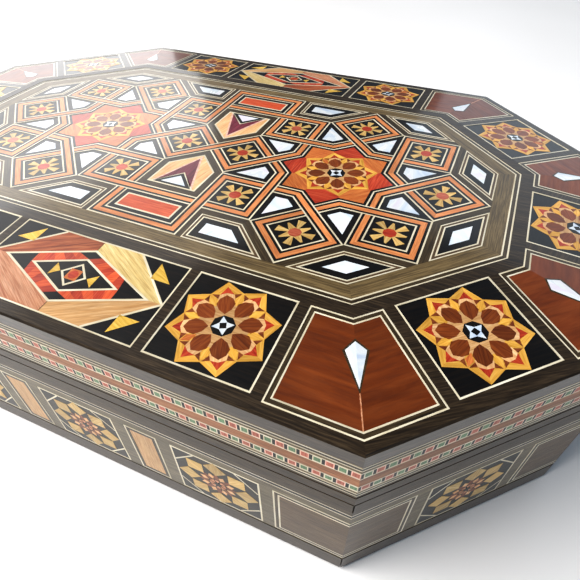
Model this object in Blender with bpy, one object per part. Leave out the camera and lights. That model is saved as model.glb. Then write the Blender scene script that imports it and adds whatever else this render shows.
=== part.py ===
"""An eight-sided inlaid jewellery box with a hinged lid.

The plan is an elongated octagon: two regular half octagons set apart along X.
Every outline is such an octagon at its own "reach", the distance from an
octagon centre to a side. The lid swings on two brass butt hinges at the back.
Metres, +Z up, +X to the right, +Y to the back, origin under the middle.
"""
import math

import bmesh
import bpy
from mathutils import Vector

# ---------------------------------------------------------------- dimensions
UNIT = 0.0224                      # side of one flower square of the lid pattern
HALF_WIDTH = 4.401 * UNIT          # reach of the outer faces
SPACING = 2.298 * UNIT             # octagon centres lie at +SPACING and -SPACING on X
HEIGHT = 3.54 * UNIT               # floor to the flat field of the lid

GAP = 0.0003                       # clearance between touching pieces
SEAM = 0.0005                      # open joint between lid and base
SEAM_Z = HEIGHT - 1.249 * UNIT     # middle of that joint
FELT = 0.0010
WALL = 0.0100
INLAY = 0.0009                     # veneer thickness of every inlay
LINING = 0.0015                    # velvet on card

SLOPE = math.radians(4.48)         # fall of the lid's border
FIELD_REACH = 2.71 * UNIT          # outer edge of the patterned field
CREASE_REACH = 2.919 * UNIT        # where the border starts to fall
PANEL_IN = CREASE_REACH + 0.00015
STAR_OUT = 4.206 * UNIT            # outer edge of star and lozenge panels
CORNER_OUT = 4.251 * UNIT          # outer edge of corner panels
LOZENGE_HALF = 1.35 * UNIT
STAR_HALF_SHORT = 0.658 * UNIT     # star panel on a short side
STAR_HALF_LONG = 0.661 * UNIT      # star panel on a long side
STAR_PLACE_LONG = 2.172 * UNIT     # its distance from the middle of the long side
CORNER_START_SHORT = 0.83 * UNIT   # corner panel begins here along a short side
CORNER_START_LONG = 3.00 * UNIT    # and here along a long side

LID_BOARD_Z = HEIGHT - 0.335 * UNIT      # underside of the lid board
BANDING_Z = (HEIGHT - 1.055 * UNIT, HEIGHT - 0.345 * UNIT)
SIDE_INLAY_Z = (HEIGHT - 3.07 * UNIT, HEIGHT - 1.475 * UNIT)
FLOOR_BOARD = 0.0050
FLOOR_PAD = 0.0030
LID_PAD = 0.0020

HINGE_X = 0.062                    # hinges sit at +HINGE_X and -HINGE_X
AXIS_INSET = 0.0026                # hinge axis in from the back face
AXIS_Y = HALF_WIDTH - AXIS_INSET
OPENING = math.radians(96)         # the two back bevels meet at this angle
HINGE_LENGTH = 0.030
KNUCKLE_R = 0.0020
BORE_R = 0.00086
PIN_R = 0.00080
PIN_HEAD_R = 0.0013
LEAF_THICK = 0.0009
LEAF_DEPTH = 0.0064                # from the axis to the leaf's inner edge
SCREW_X = 0.0095                   # screws either side of the hinge's middle
SCREW_IN = 0.0043                  # and in from the axis
SCREW_LENGTH = 0.0075
SCREW_HEAD_R = 0.0016
SCREW_SHANK_R = 0.0009

TAN = math.tan(math.radians(22.5))
BASE_TOP = SEAM_Z - SEAM / 2
LID_BOTTOM = SEAM_Z + SEAM / 2
BOARD_BOTTOM = FELT + GAP
FLOOR_TOP = BOARD_BOTTOM + FLOOR_BOARD
PAD_TOP = FLOOR_TOP + GAP + FLOOR_PAD
INNER_REACH = HALF_WIDTH - WALL
LID_CEILING = LID_BOARD_Z - GAP - LID_PAD

SIDE_NAMES = ["right", "back_right", "back", "back_left",
              "left", "front_left", "front", "front_right"]
LONG_SIDES = ("back", "front")

# name: colour, roughness, metallic
MATERIALS = {
    "walnut": ((0.075, 0.048, 0.033, 1), 0.30, 0),
    "mahogany": ((0.260, 0.075, 0.028, 1), 0.28, 0),
    "star_inlay": ((0.560, 0.300, 0.070, 1), 0.28, 0),
    "lozenge_inlay": ((0.420, 0.200, 0.090, 1), 0.28, 0),
    "field_inlay": ((0.360, 0.230, 0.130, 1), 0.28, 0),
    "banding": ((0.420, 0.190, 0.100, 1), 0.30, 0),
    "side_inlay": ((0.300, 0.240, 0.150, 1), 0.32, 0),
    "plywood": ((0.450, 0.300, 0.170, 1), 0.60, 0),
    "velvet": ((0.160, 0.008, 0.016, 1), 0.95, 0),
    "felt": ((0.060, 0.020, 0.022, 1), 0.95, 0),
    "brass": ((0.700, 0.480, 0.180, 1), 0.30, 1),
}


# ------------------------------------------------------------------- helpers
def clear_scene():
    for thing in list(bpy.data.objects):
        bpy.data.objects.remove(thing, do_unlink=True)


def material(name):
    """The Principled material of that name, made on first use."""
    found = bpy.data.materials.get(name)
    if found:
        return found
    colour, roughness, metallic = MATERIALS[name]
    made = bpy.data.materials.new(name)
    made.use_nodes = True
    made.diffuse_color = colour
    shader = made.node_tree.nodes["Principled BSDF"]
    shader.inputs["Base Color"].default_value = colour
    shader.inputs["Roughness"].default_value = roughness
    shader.inputs["Metallic"].default_value = metallic
    return made


def make_object(name, bm, slot, parent=None):
    """Turn a bmesh in world coordinates into a named object, under a parent empty if given."""
    bmesh.ops.recalc_face_normals(bm, faces=bm.faces)
    mesh = bpy.data.meshes.new(name)
    if parent:
        bmesh.ops.translate(bm, verts=bm.verts, vec=-parent.location)
    bm.to_mesh(mesh)
    bm.free()
    piece = bpy.data.objects.new(name, mesh)
    bpy.context.scene.collection.objects.link(piece)
    if slot:
        mesh.materials.append(material(slot))
    piece.parent = parent
    return piece


def make_cutter(name, bm, parent=None):
    cutter = make_object(name, bm, None, parent)
    cutter.hide_render = True
    cutter.display_type = "WIRE"
    return cutter


def cut(piece, cutter):
    """Take the cutter's shape out of the piece."""
    step = piece.modifiers.new("cut_" + cutter.name, "BOOLEAN")
    step.operation = "DIFFERENCE"
    step.object = cutter


def unite(piece, other):
    step = piece.modifiers.new("join_" + other.name, "BOOLEAN")
    step.operation = "UNION"
    step.object = other


def side_frame(side):
    """Octagon centre, outward normal, direction along, for one side of the box."""
    index = SIDE_NAMES.index(side)
    angle = index * math.pi / 4
    normal = Vector((math.cos(angle), math.sin(angle), 0))
    along = Vector((-normal.y, normal.x, 0))
    if side in LONG_SIDES:
        return Vector((0, 0, 0)), normal, along
    return Vector((SPACING if normal.x > 0 else -SPACING, 0, 0)), normal, along


def half_length(side, reach):
    return reach * TAN + (SPACING if side in LONG_SIDES else 0)


def octagon(reach, z):
    """The eight corners of the outline at a reach, anticlockwise from the right side."""
    corners = []
    for side in SIDE_NAMES:
        centre, normal, along = side_frame(side)
        point = centre + normal * reach + along * half_length(side, reach)
        corners.append(Vector((point.x, point.y, z)))
    return corners


def side_point(side, along_by, reach, z):
    centre, normal, along = side_frame(side)
    point = centre + normal * reach + along * along_by
    return Vector((point.x, point.y, z))


def lid_top_z(reach):
    """Height of the lid's upper surface at a reach."""
    return HEIGHT - max(0.0, reach - CREASE_REACH) * math.tan(SLOPE)


def add_loft(bm, rings, closed=False):
    """Join rings of equal count with quads; cap both ends, or close the last on the first."""
    loops = [[bm.verts.new(p) for p in ring] for ring in rings]
    count = len(loops[0])
    pairs = list(zip(loops, loops[1:]))
    if closed:
        pairs.append((loops[-1], loops[0]))
    for low, high in pairs:
        for i in range(count):
            j = (i + 1) % count
            bm.faces.new((low[i], low[j], high[j], high[i]))
    if not closed:
        bm.faces.new(loops[0])
        bm.faces.new(loops[-1])


def plate(profile):
    """An octagonal plate from (reach, z) steps, bottom to top."""
    bm = bmesh.new()
    add_loft(bm, [octagon(reach, z) for reach, z in profile])
    return bm


def frame_ring(profile):
    """A frame that runs all round, with a closed (reach, z) section."""
    bm = bmesh.new()
    add_loft(bm, [octagon(reach, z) for reach, z in profile], closed=True)
    return bm


def mitred_bar(side, profile, end_gap=GAP / 2):
    """One side's bar with a closed (reach, z) section and mitred ends."""
    trim = end_gap / math.cos(math.radians(22.5))
    bm = bmesh.new()
    ends = []
    for sign in (-1, 1):
        ends.append([side_point(side, sign * (half_length(side, reach) - trim), reach, z)
                     for reach, z in profile])
    add_loft(bm, ends)
    return bm


def add_box(bm, low, high):
    corners = [[Vector((x, y, z)) for x, y in ((low[0], low[1]), (high[0], low[1]),
                                               (high[0], high[1]), (low[0], high[1]))]
               for z in (low[2], high[2])]
    add_loft(bm, corners)


def circle(centre, radius, axis, sides):
    """Points of a circle about +X or +Z through a centre."""
    points = []
    for i in range(sides):
        turn = 2 * math.pi * i / sides
        a = radius * math.cos(turn)
        b = radius * math.sin(turn)
        offset = (0, a, b) if axis == "X" else (a, b, 0)
        points.append(Vector(centre) + Vector(offset))
    return points


def add_turned(bm, steps, axis, sides, closed=False):
    """A turned shape from (centre, radius) steps along its axis."""
    add_loft(bm, [circle(centre, radius, axis, sides) for centre, radius in steps], closed)


def round_off(piece):
    piece.data.shade_smooth()
    piece.data.set_sharp_from_angle(angle=math.radians(35))


# ---------------------------------------------------------- outlines of panels
def square_outline(side, middle, half, grow=0.0):
    """Corners of a star or lozenge panel on the border of the lid."""
    low = PANEL_IN - grow
    high = STAR_OUT + grow
    return [(side, middle - half - grow, low), (side, middle + half + grow, low),
            (side, middle + half + grow, high), (side, middle - half - grow, high)]


def corner_start(side):
    return CORNER_START_LONG if side in LONG_SIDES else CORNER_START_SHORT


def add_border_square(bm, side, middle, half, grow, top_lift, depth):
    outline = square_outline(side, middle, half, grow)
    top = [side_point(s, u, q, lid_top_z(q) + top_lift) for s, u, q in outline]
    bottom = [p - Vector((0, 0, depth + top_lift)) for p in top]
    add_loft(bm, [bottom, top])


def add_corner_panel(bm, side, grow, top_lift, depth):
    """The panel bent round the corner between a side and the next one anticlockwise."""
    following = SIDE_NAMES[(SIDE_NAMES.index(side) + 1) % len(SIDE_NAMES)]
    low = PANEL_IN - grow
    high = CORNER_OUT + grow
    near = corner_start(side) - grow
    far = -(corner_start(following) - grow)
    outline = [(side, near, low), (side, half_length(side, low), low),
               (following, far, low), (following, far, high),
               (side, half_length(side, high), high), (side, near, high)]
    top = [side_point(s, u, q, lid_top_z(q) + top_lift) for s, u, q in outline]
    upper = [bm.verts.new(p) for p in top]
    lower = [bm.verts.new(p - Vector((0, 0, depth + top_lift))) for p in top]
    count = len(outline)
    for i in range(count):
        j = (i + 1) % count
        bm.faces.new((lower[i], lower[j], upper[j], upper[i]))
    for ring in (upper, lower):
        bm.faces.new((ring[0], ring[1], ring[4], ring[5]))
        bm.faces.new((ring[1], ring[2], ring[3], ring[4]))


def border_squares():
    """Name, side, place along the side, half width and material of each square panel."""
    squares = []
    for side in SIDE_NAMES:
        if side in LONG_SIDES:
            squares.append(("lozenge_panel_" + side, side, 0.0, LOZENGE_HALF, "lozenge_inlay"))
            for end, sign in (("right", 1), ("left", -1)):
                direction = sign if side == "front" else -sign
                squares.append((f"star_panel_{side}_{end}_end", side,
                                direction * STAR_PLACE_LONG, STAR_HALF_LONG, "star_inlay"))
        else:
            squares.append(("star_panel_" + side, side, 0.0, STAR_HALF_SHORT, "star_inlay"))
    return squares


# ------------------------------------------------------------- shared cutters
def bevel_cutter(name, sign, parent=None):
    """Wedge that bevels the back edge of the base (sign -1) or of the lid (sign +1)."""
    half_opening = OPENING / 2
    offset = SEAM / 2
    apex_y = AXIS_Y - offset * math.tan(half_opening / 2)
    reach_y = HALF_WIDTH + 0.004
    drop = (offset + (reach_y - AXIS_Y) * math.sin(half_opening)) / math.cos(half_opening)
    beyond = sign * -0.004
    section = [(apex_y, SEAM_Z + sign * offset), (reach_y, SEAM_Z + sign * drop),
               (reach_y, SEAM_Z + beyond), (apex_y, SEAM_Z + beyond)]
    span = SPACING + HALF_WIDTH
    bm = bmesh.new()
    add_loft(bm, [[Vector((x, y, z)) for y, z in section] for x in (-span, span)])
    return make_cutter(name, bm, parent)


def hinge_cutter(name, sign, parent=None):
    """Pockets for both hinges in the base (sign -1) or the lid (sign +1)."""
    bm = bmesh.new()
    room = KNUCKLE_R + 0.00035
    edge = SEAM_Z + sign * SEAM / 2
    beyond = edge - sign * 0.004
    pocket = edge + sign * (LEAF_THICK + GAP)
    for x in (-HINGE_X, HINGE_X):
        reach = HINGE_LENGTH / 2
        low = min(SEAM_Z + sign * room, beyond)
        high = max(SEAM_Z + sign * room, beyond)
        add_box(bm, (x - reach - 0.0012, AXIS_Y - room, low),
                (x + reach + 0.0012, HALF_WIDTH + 0.004, high))
    cutter = make_cutter(name + "_knuckles", bm, parent)
    bm = bmesh.new()
    for x in (-HINGE_X, HINGE_X):
        reach = HINGE_LENGTH / 2 + GAP
        add_box(bm, (x - reach, AXIS_Y - LEAF_DEPTH - GAP, min(pocket, beyond)),
                (x + reach, AXIS_Y - 0.0010, max(pocket, beyond)))
    leaves = make_cutter(name + "_leaves", bm, parent)
    bm = bmesh.new()
    for x, y in screw_places():
        depth = edge + sign * (SCREW_LENGTH + 0.0012)
        add_turned(bm, [((x, y, edge), SCREW_SHANK_R + GAP), ((x, y, depth), SCREW_SHANK_R + GAP)],
                   "Z", 16)
    holes = make_cutter(name + "_screw_holes", bm, parent)
    return [cutter, leaves, holes]


def screw_places():
    return [(x + dx, AXIS_Y - SCREW_IN)
            for x in (-HINGE_X, HINGE_X) for dx in (-SCREW_X, SCREW_X)]


# ------------------------------------------------------------------ the base
def build_base():
    felt_reach = HALF_WIDTH - 0.004
    make_object("underside_felt", plate([(felt_reach, 0.0), (felt_reach, FELT)]), "felt")

    board_reach = INNER_REACH - GAP
    make_object("base_floor_board",
                plate([(board_reach, BOARD_BOTTOM), (board_reach, FLOOR_TOP)]), "plywood")

    pad_reach = board_reach - LINING - GAP
    soft = 0.0008
    make_object("floor_velvet",
                plate([(pad_reach, FLOOR_TOP + GAP), (pad_reach, PAD_TOP - soft),
                       (pad_reach - soft, PAD_TOP)]), "velvet")

    inner = board_reach - LINING
    top = BASE_TOP - 0.0006
    low = FLOOR_TOP + GAP
    make_object("wall_velvet",
                frame_ring([(board_reach, low), (board_reach, top), (inner, top), (inner, low)]),
                "velvet")

    bevel = bevel_cutter("base_back_bevel", -1)
    hinge_room = hinge_cutter("base_hinge_room", -1)
    rebate = HALF_WIDTH - INLAY - GAP
    inlay_low, inlay_high = SIDE_INLAY_Z
    foot = 0.0006
    for side in SIDE_NAMES:
        section = [(INNER_REACH, BOARD_BOTTOM), (HALF_WIDTH - foot, BOARD_BOTTOM),
                   (HALF_WIDTH, BOARD_BOTTOM + foot),
                   (HALF_WIDTH, inlay_low - GAP), (rebate, inlay_low - GAP),
                   (rebate, inlay_high + GAP), (HALF_WIDTH, inlay_high + GAP),
                   (HALF_WIDTH, BASE_TOP), (INNER_REACH, BASE_TOP)]
        wall = make_object("base_wall_" + side, mitred_bar(side, section), "walnut")
        if side.startswith("back"):
            cut(wall, bevel)
        if side == "back":
            for cutter in hinge_room:
                cut(wall, cutter)
        veneer = [(HALF_WIDTH - INLAY, inlay_low), (HALF_WIDTH, inlay_low),
                  (HALF_WIDTH, inlay_high), (HALF_WIDTH - INLAY, inlay_high)]
        make_object("base_inlay_" + side, mitred_bar(side, veneer), "side_inlay")


# ------------------------------------------------------------------- the lid
def build_lid(axis_empty):
    banding_low, banding_high = BANDING_Z
    rim_top = LID_BOARD_Z - GAP
    rebate = HALF_WIDTH - INLAY - GAP
    rim = make_object("lid_rim",
                      frame_ring([(INNER_REACH, LID_BOTTOM), (HALF_WIDTH, LID_BOTTOM),
                                  (HALF_WIDTH, banding_low - GAP), (rebate, banding_low - GAP),
                                  (rebate, rim_top), (INNER_REACH, rim_top)]),
                      "walnut", axis_empty)
    cut(rim, bevel_cutter("lid_back_bevel", 1, axis_empty))
    for cutter in hinge_cutter("lid_hinge_room", 1, axis_empty):
        cut(rim, cutter)

    make_object("lid_banding",
                frame_ring([(HALF_WIDTH - INLAY, banding_low), (HALF_WIDTH, banding_low),
                            (HALF_WIDTH, banding_high), (HALF_WIDTH - INLAY, banding_high)]),
                "banding", axis_empty)

    arris = 0.0005
    edge_z = lid_top_z(HALF_WIDTH)
    board = make_object("lid_board",
                        plate([(HALF_WIDTH, LID_BOARD_Z), (HALF_WIDTH, edge_z - arris),
                               (HALF_WIDTH - arris, lid_top_z(HALF_WIDTH - arris)),
                               (CREASE_REACH, HEIGHT)]),
                        "walnut", axis_empty)
    cut(board, board_pockets(axis_empty))

    make_object("lid_field_inlay", plate([(FIELD_REACH, HEIGHT - INLAY), (FIELD_REACH, HEIGHT)]),
                "field_inlay", axis_empty)
    for name, side, middle, half, slot in border_squares():
        bm = bmesh.new()
        add_border_square(bm, side, middle, half, 0.0, 0.0, INLAY)
        make_object(name, bm, slot, axis_empty)
    for side in SIDE_NAMES:
        following = SIDE_NAMES[(SIDE_NAMES.index(side) + 1) % len(SIDE_NAMES)]
        bm = bmesh.new()
        add_corner_panel(bm, side, 0.0, 0.0, INLAY)
        make_object(f"corner_panel_{side}_to_{following}", bm, "mahogany", axis_empty)

    ceiling_reach = INNER_REACH - GAP
    make_object("lid_ceiling_velvet",
                plate([(ceiling_reach, LID_CEILING), (ceiling_reach, LID_BOARD_Z - GAP)]),
                "velvet", axis_empty)
    inner = ceiling_reach - LINING
    low = LID_BOTTOM + 0.0006
    high = LID_CEILING - GAP
    make_object("lid_rim_velvet",
                frame_ring([(ceiling_reach, low), (ceiling_reach, high), (inner, high), (inner, low)]),
                "velvet", axis_empty)


def board_pockets(axis_empty):
    """Shallow recesses in the lid board for the field and the border panels."""
    depth = INLAY + GAP
    lift = 0.001
    bm = bmesh.new()
    add_loft(bm, [octagon(FIELD_REACH + GAP, HEIGHT - depth), octagon(FIELD_REACH + GAP, HEIGHT + lift)])
    for _, side, middle, half, _ in border_squares():
        add_border_square(bm, side, middle, half, GAP, lift, depth)
    for side in SIDE_NAMES:
        add_corner_panel(bm, side, GAP, lift, depth)
    return make_cutter("lid_board_pockets", bm, axis_empty)


# ---------------------------------------------------------------- the hinges
def knuckle(bm, x_low, x_high):
    """A hollow barrel on the hinge axis."""
    steps = [((x_low, AXIS_Y, SEAM_Z), KNUCKLE_R), ((x_high, AXIS_Y, SEAM_Z), KNUCKLE_R),
             ((x_high, AXIS_Y, SEAM_Z), BORE_R), ((x_low, AXIS_Y, SEAM_Z), BORE_R)]
    add_turned(bm, steps, "X", 24, closed=True)


def hinge_leaf(name, x, sign, barrels, parent=None):
    """A leaf with its barrels; sign -1 for the base leaf and +1 for the lid leaf."""
    face = SEAM_Z + sign * SEAM / 2
    back = face + sign * LEAF_THICK
    clear = KNUCKLE_R + 0.0004
    half = HINGE_LENGTH / 2
    bm = bmesh.new()
    add_box(bm, (x - half, AXIS_Y - LEAF_DEPTH, min(face, back)),
            (x + half, AXIS_Y - clear, max(face, back)))
    leaf = make_object(name, bm, "brass", parent)
    for number, (low, high) in enumerate(barrels):
        bm = bmesh.new()
        add_box(bm, (x + low, AXIS_Y - clear - 0.0005, min(face, back)),
                (x + high, AXIS_Y - BORE_R - 0.0004, max(face, back)))
        unite(leaf, make_cutter(f"{name}_tongue_{number}", bm, parent))
        bm = bmesh.new()
        knuckle(bm, x + low, x + high)
        unite(leaf, make_cutter(f"{name}_barrel_{number}", bm, parent))
    bm = bmesh.new()
    for dx in (-SCREW_X, SCREW_X):
        y = AXIS_Y - SCREW_IN
        outer = face - sign * 0.0002
        sink = face + sign * 0.0006
        deep = back + sign * 0.0002
        clearance = 0.00012
        add_turned(bm, [((x + dx, y, outer), SCREW_HEAD_R + clearance + 0.0002),
                        ((x + dx, y, sink), SCREW_SHANK_R + clearance),
                        ((x + dx, y, deep), SCREW_SHANK_R + clearance)], "Z", 20)
    cut(leaf, make_cutter(name + "_screw_holes", bm, parent))
    round_off(leaf)


def hinge_pin(name, x):
    half = HINGE_LENGTH / 2
    head = 0.0006
    gap = 0.0001
    steps = [(-half - gap - head, PIN_HEAD_R), (-half - gap, PIN_HEAD_R), (-half - gap, PIN_R),
             (half + gap, PIN_R), (half + gap, PIN_HEAD_R), (half + gap + head, PIN_HEAD_R)]
    bm = bmesh.new()
    add_turned(bm, [((x + dx, AXIS_Y, SEAM_Z), radius) for dx, radius in steps], "X", 24)
    round_off(make_object(name, bm, "brass"))


def wood_screw(name, x, y, sign, parent=None):
    """A countersunk screw; sign -1 drives down into the base, +1 up into the lid."""
    face = SEAM_Z + sign * (SEAM / 2 + 0.00005)
    sink = face + sign * 0.0006
    tip = face + sign * SCREW_LENGTH
    steps = [((x, y, face), SCREW_HEAD_R), ((x, y, sink), SCREW_SHANK_R),
             ((x, y, tip - sign * 0.002), SCREW_SHANK_R), ((x, y, tip), 0.0002)]
    bm = bmesh.new()
    add_turned(bm, steps, "Z", 20)
    screw = make_object(name, bm, "brass", parent)
    slot = bmesh.new()
    reach = SCREW_HEAD_R + 0.0004
    low = min(face - sign * 0.0004, face + sign * 0.00025)
    high = max(face - sign * 0.0004, face + sign * 0.00025)
    add_box(slot, (x - reach, y - 0.00018, low), (x + reach, y + 0.00018, high))
    cut(screw, make_cutter(name + "_slot", slot, parent))
    round_off(screw)


def build_hinges(axis_empty):
    third = HINGE_LENGTH / 6
    half = HINGE_LENGTH / 2
    side_gap = 0.00015
    outer = [(-half, -third - side_gap), (third + side_gap, half)]
    middle = [(-third + side_gap, third - side_gap)]
    for end, x in (("left", -HINGE_X), ("right", HINGE_X)):
        hinge_leaf("hinge_base_leaf_" + end, x, -1, outer)
        hinge_leaf("hinge_lid_leaf_" + end, x, 1, middle, axis_empty)
        hinge_pin("hinge_pin_" + end, x)
    for number, (x, y) in enumerate(screw_places(), start=1):
        wood_screw(f"base_screw_{number}", x, y, -1)
        wood_screw(f"lid_screw_{number}", x, y, 1, axis_empty)


def main():
    clear_scene()
    axis_empty = bpy.data.objects.new("lid_hinge_axis", None)
    bpy.context.scene.collection.objects.link(axis_empty)
    axis_empty.location = (0, AXIS_Y, SEAM_Z)
    build_base()
    build_lid(axis_empty)
    build_hinges(axis_empty)


main()
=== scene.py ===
"""Looks of an eight-sided inlaid wooden box with a hinged lid.

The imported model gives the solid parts. This script lays the marquetry piece by piece on the lid
and on the walls, lines the inside with velvet, and gives every part its material.
Patterns are drawn in units: one unit is the side of a flower square, UNIT metres long.
Widths, radii and heights of the pattern are in units unless a comment says metres.
"""
import math
import random

import bmesh
import bpy
from mathutils import Matrix, Vector, noise


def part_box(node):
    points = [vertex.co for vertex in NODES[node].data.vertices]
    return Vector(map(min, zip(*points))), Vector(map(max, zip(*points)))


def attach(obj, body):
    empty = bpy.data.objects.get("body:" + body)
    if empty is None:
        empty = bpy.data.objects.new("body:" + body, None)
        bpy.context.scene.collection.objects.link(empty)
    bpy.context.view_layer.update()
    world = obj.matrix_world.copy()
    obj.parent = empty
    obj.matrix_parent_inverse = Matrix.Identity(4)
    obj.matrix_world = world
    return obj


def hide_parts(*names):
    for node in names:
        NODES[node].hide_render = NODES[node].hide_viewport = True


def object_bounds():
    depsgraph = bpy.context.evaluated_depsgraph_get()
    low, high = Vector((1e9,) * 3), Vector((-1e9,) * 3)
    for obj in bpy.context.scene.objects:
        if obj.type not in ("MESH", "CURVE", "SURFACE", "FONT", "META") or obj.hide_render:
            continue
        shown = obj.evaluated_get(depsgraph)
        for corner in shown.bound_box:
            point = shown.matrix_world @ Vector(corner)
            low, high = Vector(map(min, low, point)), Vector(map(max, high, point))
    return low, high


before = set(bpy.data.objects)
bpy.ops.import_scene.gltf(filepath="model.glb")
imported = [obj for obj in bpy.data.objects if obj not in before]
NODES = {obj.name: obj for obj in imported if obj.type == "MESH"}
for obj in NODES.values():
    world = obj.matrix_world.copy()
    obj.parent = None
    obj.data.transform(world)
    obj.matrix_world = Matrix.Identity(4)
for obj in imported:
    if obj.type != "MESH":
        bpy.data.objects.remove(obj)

CAD_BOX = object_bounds()

# ---- the box, in metres
UNIT = 0.0224
HEIGHT = CAD_BOX[1].z  # floor to the flat field of the lid
HALF_WIDTH = CAD_BOX[1].y  # reach of the outer faces
TAN = math.tan(math.pi / 8)
SPACING = CAD_BOX[1].x - HALF_WIDTH  # octagon centres on X
GAP = 0.0003  # clearance of the CAD inlays, which the veneer closes
INLAY = 0.0009  # thickness of the marquetry
LINING = 0.0015  # thickness of the velvet on the walls
SLOPE = math.tan(math.radians(4.48))
CREASE = 2.919  # the border starts to fall here, in units
SIDES = ["right", "back_right", "back", "back_left",
         "left", "front_left", "front", "front_right"]
LONG_SIDES = ("front", "back")

# ---- the pattern, in units
EIGHTH, SIXTEENTH = 45, 22.5  # of a turn, in degrees
COS = math.cos(math.pi / 8)
ROOT = math.sqrt(0.5)
STRAP = 0.208  # width of one interlaced strap
ACROSS = STRAP * ROOT  # the same, measured at 45 degrees
SQUARE_AT = 1 + ROOT  # middle of a flower square from the middle of its star
FAR = 1 + math.sqrt(2)  # its far corner
MIDDLE = FAR - math.sqrt(2) * STRAP / 2  # star centres sit at +MIDDLE and -MIDDLE on X
BEND = 1 / (math.sqrt(2) * COS)  # radius of the star's notches
EDGE = MIDDLE - 1 - ROOT  # inner edge of the squares beside the middle, from the Y axis
STRAP_COURSES = [(0.024, "ivory"), (0.040, "black"), (0.080, "orange"),
                 (0.040, "black"), (0.024, "ivory")]
STRAP_LEVEL = 5
TOP_LEVEL = 7
LEVEL_STEP = 0.00002  # each level lies this much higher than the last, in metres


# ---- plane geometry
def polar(radius, degrees, centre=(0, 0)):
    angle = math.radians(degrees)
    return (centre[0] + radius * math.cos(angle), centre[1] + radius * math.sin(angle))


def turned(points, degrees, centre=(0, 0)):
    """Points turned about the origin and then moved to a centre."""
    cos, sin = math.cos(math.radians(degrees)), math.sin(math.radians(degrees))
    return [(centre[0] + x * cos - y * sin, centre[1] + x * sin + y * cos) for x, y in points]


def regular(count, radius, start=0, centre=(0, 0)):
    return [polar(radius, start + 360 * i / count, centre) for i in range(count)]


def star_outline(count, tip, notch, start=0, centre=(0, 0)):
    step = 360 / count
    points = []
    for i in range(count):
        points.append(polar(tip, start + step * i, centre))
        points.append(polar(notch, start + step * (i + 0.5), centre))
    return points


def box_outline(left, low, right, high):
    return [(left, low), (right, low), (right, high), (left, high)]


def crossing(p, d, q, e):
    """Where the line through p along d meets the line through q along e."""
    cross = d[0] * e[1] - d[1] * e[0]
    t = ((q[0] - p[0]) * e[1] - (q[1] - p[1]) * e[0]) / cross
    return (p[0] + d[0] * t, p[1] + d[1] * t)


def heading(a, b):
    """The unit direction from a to b."""
    length = math.hypot(b[0] - a[0], b[1] - a[1])
    return ((b[0] - a[0]) / length, (b[1] - a[1]) / length)


def edges(outline):
    """The (start, end) of every edge of an outline."""
    return list(zip(outline, outline[1:] + outline[:1]))


def inset(outline, distances):
    """An anticlockwise outline moved inwards, by a distance for each edge."""
    lines = []
    for (a, b), step in zip(edges(outline), distances):
        d = heading(a, b)
        lines.append(((a[0] - d[1] * step, a[1] + d[0] * step), d))
    return [crossing(*lines[i - 1], *lines[i]) for i in range(len(lines))]


def direction_of(a, b):
    return math.atan2(b[1] - a[1], b[0] - a[0])


# ---- places on the box
def side_frame(side):
    angle = SIDES.index(side) * math.pi / 4
    normal = Vector((math.cos(angle), math.sin(angle), 0))
    along = Vector((-normal.y, normal.x, 0))
    if side in LONG_SIDES:
        return Vector((0, 0, 0)), normal, along
    return Vector((math.copysign(SPACING, normal.x), 0, 0)), normal, along


def half_length(side, reach):
    """Half the length of a side at a reach; both in units."""
    return reach * TAN + (SPACING / UNIT if side in LONG_SIDES else 0)


def on_field(x, y, depth):
    return Vector((x * UNIT, y * UNIT, HEIGHT - depth))


def on_border(side, mirror=1):
    """The sloping border of one side: x runs along it, y is the reach."""
    centre, normal, along = side_frame(side)

    def place(x, y, depth):
        point = centre + normal * (y * UNIT) + along * (mirror * x * UNIT)
        point.z = HEIGHT - max(0, y - CREASE) * UNIT * SLOPE - depth
        return point
    return place


def on_wall(side, mirror=1):
    """The outer face of one side: x runs along it, y is the height from the lid's field."""
    centre, normal, along = side_frame(side)

    def place(x, y, depth):
        point = centre + normal * (HALF_WIDTH - depth) + along * (mirror * x * UNIT)
        point.z = HEIGHT + y * UNIT
        return point
    return place


# ---- materials
def linear(code):
    """A hexadecimal sRGB colour as linear RGBA."""
    values = []
    for i in (0, 2, 4):
        c = int(code[i:i + 2], 16) / 255
        values.append(c / 12.92 if c < 0.04045 else ((c + 0.055) / 1.055) ** 2.4)
    return (*values, 1)


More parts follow.
